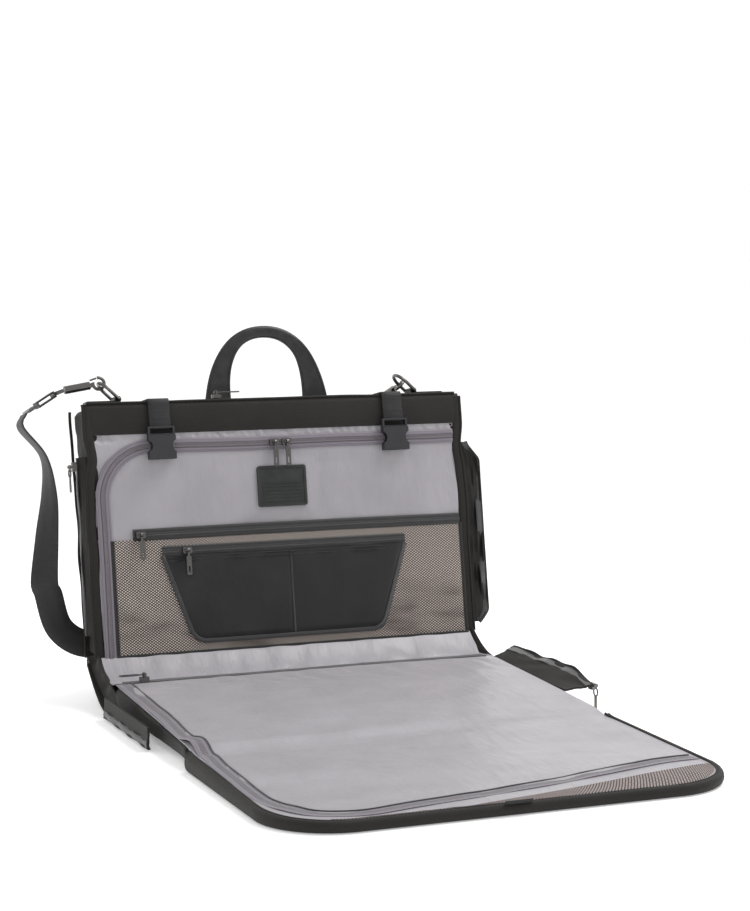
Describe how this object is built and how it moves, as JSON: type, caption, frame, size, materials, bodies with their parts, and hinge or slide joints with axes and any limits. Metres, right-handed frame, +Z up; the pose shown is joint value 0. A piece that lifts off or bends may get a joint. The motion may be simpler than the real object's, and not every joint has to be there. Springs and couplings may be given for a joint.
{
  "type": "garment bag",
  "caption": "Tri-fold garment bag standing open: upright zipped section with mesh and small pockets, floor sections, carry handle, buckle straps and shoulder strap.",
  "frame": {"origin": "on the resting face at mid width, beside the fold between the middle section and the spine", "axes": "+X across the bag to the side opposite the strap adjuster, +Y from the open end to the spine, +Z up"},
  "size_m": [0.6847, 0.9247, 0.5101],
  "materials": {
    "outer_nylon": "ballistic nylon",
    "lining_satin": "satin nylon",
    "grey_zipper": "zipper tape",
    "black_zipper": "coated zipper tape",
    "mesh_net": "net over lining",
    "pocket_nylon": "plain nylon",
    "webbing": "ribbed webbing",
    "foam": "foam",
    "leather": "smooth leather",
    "gunmetal": "dark polished metal",
    "steel": "steel",
    "black_plastic": "moulded acetal",
    "board": "stiff sheet",
    "patch_rubber": "moulded rubber"
  },
  "bodies": {
    "middle_section": {"middle_shell": "outer_nylon", "middle_padding": "foam", "middle_lining": "lining_satin", "middle_zipper_tape": "grey_zipper", "fold_zipper_tape": "black_zipper", "outer_pocket": "outer_nylon", "male_buckles": "black_plastic"},
    "end_section": {"end_shell": "outer_nylon", "end_padding": "foam", "end_lining": "lining_satin", "end_binding": "outer_nylon", "end_zipper_tape": "grey_zipper"},
    "spine_section": {"spine_panel": "outer_nylon"},
    "upright_section": {"upright_shell": "outer_nylon", "back_board": "board", "upright_lining": "lining_satin", "top_band": "outer_nylon", "mesh_pocket": "mesh_net", "accessory_pocket": "pocket_nylon", "black_zipper_tapes": "black_zipper", "main_zipper_tape": "grey_zipper", "rubber_patch": "patch_rubber", "ring_tabs": "leather", "strap_anchors": "webbing", "hanger_bracket": "steel"},
    "hanging_hook": {"hanging_hook": "steel"},
    "carry_handle": {"carry_handle": "leather"},
    "shoulder_strap": {"snap_hooks": "gunmetal", "swivel_eyes": "gunmetal", "strap_loops": "leather", "strap_adjuster": "gunmetal", "shoulder_webbing": "webbing"},
    "left_buckle_strap": {"left_buckle_webbing": "webbing", "left_female_buckle": "black_plastic"},
    "left_ring": {"left_ring": "gunmetal"},
    "left_gate": {"left_gate": "gunmetal"},
    "left_upright_flap": {"left_upright_flap": "outer_nylon"},
    "left_middle_flap": {"left_middle_flap": "outer_nylon"},
    "right_buckle_strap": {"right_buckle_webbing": "webbing", "right_female_buckle": "black_plastic"},
    "right_ring": {"right_ring": "gunmetal"},
    "right_gate": {"right_gate": "gunmetal"},
    "right_upright_flap": {"right_upright_flap": "outer_nylon"},
    "right_middle_flap": {"right_middle_flap": "outer_nylon"},
    "mesh_slider": {"mesh_slider": "gunmetal"},
    "mesh_pull": {"mesh_pull": "gunmetal"},
    "accessory_slider": {"accessory_slider": "gunmetal"},
    "accessory_pull": {"accessory_pull": "gunmetal"},
    "main_slider_left": {"main_slider_left": "gunmetal"},
    "main_pull_left": {"main_pull_left": "gunmetal"},
    "main_slider_right": {"main_slider_right": "gunmetal"},
    "main_pull_right": {"main_pull_right": "gunmetal"},
    "top_slider": {"top_slider": "gunmetal"},
    "top_pull": {"top_pull": "gunmetal"},
    "fold_slider": {"fold_slider": "gunmetal"},
    "fold_pull": {"fold_pull": "gunmetal"},
    "flap_slider_left": {"flap_slider_left": "gunmetal"},
    "flap_pull_left": {"flap_pull_left": "gunmetal"},
    "flap_slider_right": {"flap_slider_right": "gunmetal"},
    "flap_pull_right": {"flap_pull_right": "gunmetal"}
  },
  "joints": [
    {"name": "end_fold", "type": "hinge", "parent": "middle_section", "child": "end_section", "pos_m": [0, -0.3495, 0.03], "axis": [-1, 0, 0], "range_deg": [0, 180]},
    {"name": "spine_fold", "type": "hinge", "parent": "middle_section", "child": "spine_section", "pos_m": [0, 0.005, 0.003], "axis": [1, 0, 0], "range_deg": [-22, 68]},
    {"name": "upright_fold", "type": "hinge", "parent": "spine_section", "child": "upright_section", "pos_m": [0, 0.12553, 0.0517], "axis": [1, 0, 0], "range_deg": [-53.88, 29.8]},
    {"name": "handle_swing", "type": "hinge", "parent": "upright_section", "child": "carry_handle", "pos_m": [0, 0.16164, 0.40828], "axis": [-1, 0, 0], "range_deg": [-45, 60]},
    {"name": "hook_slide", "type": "slide", "parent": "upright_section", "child": "hanging_hook", "axis": [0, 0.1478, 0.989], "range_m": [0, 0.1]},
    {"name": "shoulder_strap_swing", "type": "hinge", "parent": "upright_section", "child": "shoulder_strap", "pos_m": [-0.24333, 0.16317, 0.43205], "axis": [0.999, 0.0307, -0.0332], "range_deg": [0, 45]},
    {"name": "left_buckle_swing", "type": "hinge", "parent": "upright_section", "child": "left_buckle_strap", "pos_m": [-0.172, 0.12255, 0.41124], "axis": [-1, 0, 0], "range_deg": [0, 150]},
    {"name": "left_ring_swing", "type": "hinge", "parent": "upright_section", "child": "left_ring", "pos_m": [-0.22, 0.15972, 0.40897], "axis": [0, 0.989, -0.1478], "range_deg": [-3, 3]},
    {"name": "left_gate_hinge", "type": "hinge", "parent": "shoulder_strap", "child": "left_gate", "pos_m": [-0.2554, 0.16384, 0.43657], "axis": [0, 0.989, -0.1478], "range_deg": [0, 20], "stiffness_Nm_per_rad": 0.02, "springref_deg": -17.19},
    {"name": "right_buckle_swing", "type": "hinge", "parent": "upright_section", "child": "right_buckle_strap", "pos_m": [0.172, 0.12255, 0.41124], "axis": [-1, 0, 0], "range_deg": [0, 150]},
    {"name": "right_ring_swing", "type": "hinge", "parent": "upright_section", "child": "right_ring", "pos_m": [0.22, 0.15972, 0.40897], "axis": [0, 0.989, -0.1478], "range_deg": [-3, 3]},
    {"name": "right_gate_hinge", "type": "hinge", "parent": "shoulder_strap", "child": "right_gate", "pos_m": [0.20978, 0.18989, 0.41536], "axis": [0.7071, -0.1045, -0.6993], "range_deg": [0, 20], "stiffness_Nm_per_rad": 0.02, "springref_deg": -17.19},
    {"name": "left_upright_flap_fold", "type": "hinge", "parent": "upright_section", "child": "left_upright_flap", "pos_m": [-0.284, 0.08241, 0.16229], "axis": [0, 0.1478, 0.989], "range_deg": [0, 150]},
    {"name": "right_upright_flap_fold", "type": "hinge", "parent": "upright_section", "child": "right_upright_flap", "pos_m": [0.284, 0.08438, 0.16199], "axis": [0, -0.1478, -0.989], "range_deg": [-85, 90]},
    {"name": "left_middle_flap_fold", "type": "hinge", "parent": "middle_section", "child": "left_middle_flap", "pos_m": [-0.29, -0.12, 0.03217], "axis": [0, -1, 0], "range_deg": [-175, 0]},
    {"name": "right_middle_flap_fold", "type": "hinge", "parent": "middle_section", "child": "right_middle_flap", "pos_m": [0.29, -0.12, 0.03217], "axis": [0, -1, 0], "range_deg": [0, 85]},
    {"name": "mesh_zip", "type": "slide", "parent": "upright_section", "child": "mesh_slider", "axis": [1, 0, 0], "range_m": [0, 0.452]},
    {"name": "mesh_pull_swing", "type": "hinge", "parent": "mesh_slider", "child": "mesh_pull", "pos_m": [-0.208, 0.08217, 0.22906], "axis": [1, 0, 0], "range_deg": [-150, 0]},
    {"name": "accessory_zip", "type": "slide", "parent": "upright_section", "child": "accessory_slider", "axis": [1, 0, 0], "range_m": [0, 0.314]},
    {"name": "accessory_pull_swing", "type": "hinge", "parent": "accessory_slider", "child": "accessory_pull", "pos_m": [-0.144, 0.07714, 0.20554], "axis": [1, 0, 0], "range_deg": [-150, 0]},
    {"name": "main_zip_left", "type": "slide", "parent": "upright_section", "child": "main_slider_left", "axis": [-1, 0, 0], "range_m": [0, 0.135]},
    {"name": "main_pull_left_swing", "type": "hinge", "parent": "main_slider_left", "child": "main_pull_left", "pos_m": [-0.009, 0.09991, 0.34774], "axis": [1, 0, 0], "range_deg": [-150, 0]},
    {"name": "main_zip_right", "type": "slide", "parent": "upright_section", "child": "main_slider_right", "axis": [1, 0, 0], "range_m": [0, 0.135]},
    {"name": "main_pull_right_swing", "type": "hinge", "parent": "main_slider_right", "child": "main_pull_right", "pos_m": [0.009, 0.09991, 0.34774], "axis": [1, 0, 0], "range_deg": [-150, 0]},
    {"name": "top_zip", "type": "slide", "parent": "upright_section", "child": "top_slider", "axis": [-1, 0, 0], "range_m": [-0.164, 0]},
    {"name": "top_pull_swing", "type": "hinge", "parent": "top_slider", "child": "top_pull", "pos_m": [-0.082, 0.14063, 0.41657], "axis": [0, -0.989, 0.1478], "range_deg": [0, 165]},
    {"name": "fold_zip", "type": "slide", "parent": "middle_section", "child": "fold_slider", "axis": [1, 0, 0], "range_m": [0, 0.464]},
    {"name": "fold_pull_swing", "type": "hinge", "parent": "fold_slider", "child": "fold_pull", "pos_m": [-0.232, -0.0055, 0.0541], "axis": [0, 1, 0], "range_deg": [0, 165]},
    {"name": "flap_zip_left", "type": "slide", "parent": "left_upright_flap", "child": "flap_slider_left", "axis": [0, -0.1478, -0.989], "range_m": [0, 0.218]},
    {"name": "flap_pull_left_swing", "type": "hinge", "parent": "flap_slider_left", "child": "flap_pull_left", "pos_m": [-0.2946, 0.12939, 0.32109], "axis": [0, -0.989, 0.1478], "range_deg": [-90, 0]},
    {"name": "flap_zip_right", "type": "slide", "parent": "right_middle_flap", "child": "flap_slider_right", "axis": [0, 1, 0], "range_m": [0, 0.19]},
    {"name": "flap_pull_right_swing", "type": "hinge", "parent": "flap_slider_right", "child": "flap_pull_right", "pos_m": [0.3266, -0.218, 0.03217], "axis": [0, 1, 0], "range_deg": [-120, 0]}
  ]
}
